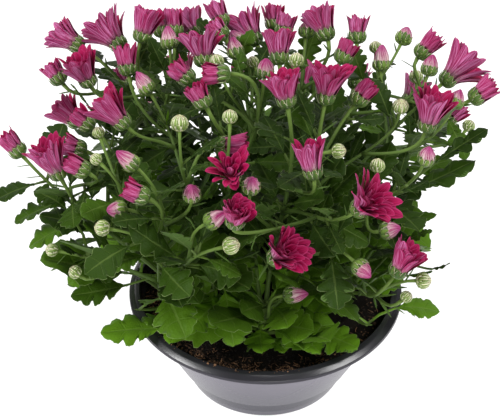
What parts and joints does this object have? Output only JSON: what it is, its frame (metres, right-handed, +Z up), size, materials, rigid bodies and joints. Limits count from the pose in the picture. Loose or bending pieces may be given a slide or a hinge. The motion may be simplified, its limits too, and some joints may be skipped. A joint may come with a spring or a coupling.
{
  "type": "pot chrysanthemum",
  "caption": "Branched pot chrysanthemum with lobed leaves, closed buds and strap-petalled pink blooms, rooted in soil in a low, wide, flared plastic bowl.",
  "frame": {"origin": "centre of the bowl's flat underside", "axes": "+Z up; +X to the right and -Y towards the front of the plant, its widest spread lies along X"},
  "size_m": [0.413, 0.3234, 0.326],
  "materials": {
    "bowl": "moulded polypropylene, semi-gloss, dark grey with a violet cast",
    "soil": "moist fibrous peat substrate, matte and crumbly",
    "foliage": "finely haired leaf, matte, mid to dark green, paler below",
    "petals": "soft velvety ray petals, magenta inside, paler mauve-pink outside"
  },
  "bodies": {
    "root": {"bowl": "bowl", "soil": "soil", "plant_right": "foliage", "plant_back_right": "foliage", "plant_back_left": "foliage", "plant_front_left": "foliage", "plant_front": "foliage", "bloom_01": "petals", "bloom_02": "petals", "bloom_03": "petals", "bloom_04": "petals", "bloom_05": "petals", "bloom_06": "petals", "bloom_07": "petals", "bloom_08": "petals", "bloom_09": "petals", "bloom_10": "petals", "bloom_11": "petals", "bloom_12": "petals", "bloom_13": "petals", "bloom_14": "petals", "bloom_15": "petals", "bloom_16": "petals", "bloom_17": "petals", "bloom_18": "petals", "bloom_19": "petals", "bloom_20": "petals", "bloom_21": "petals", "bloom_22": "petals", "bloom_23": "petals", "bloom_24": "petals", "bloom_25": "petals", "bloom_26": "petals", "bloom_27": "petals", "bloom_28": "petals", "bloom_29": "petals", "bloom_30": "petals", "bloom_31": "petals", "bloom_32": "petals", "bloom_33": "petals", "bloom_34": "petals", "bloom_35": "petals", "bloom_36": "petals", "bloom_37": "petals", "bloom_38": "petals", "bloom_39": "petals", "bloom_40": "petals", "bloom_41": "petals", "bloom_42": "petals", "bloom_43": "petals", "bloom_44": "petals", "bloom_45": "petals", "bloom_46": "petals", "bloom_47": "petals", "bloom_48": "petals", "bloom_49": "petals", "bloom_50": "petals", "bloom_51": "petals"}
  },
  "joints": []
}
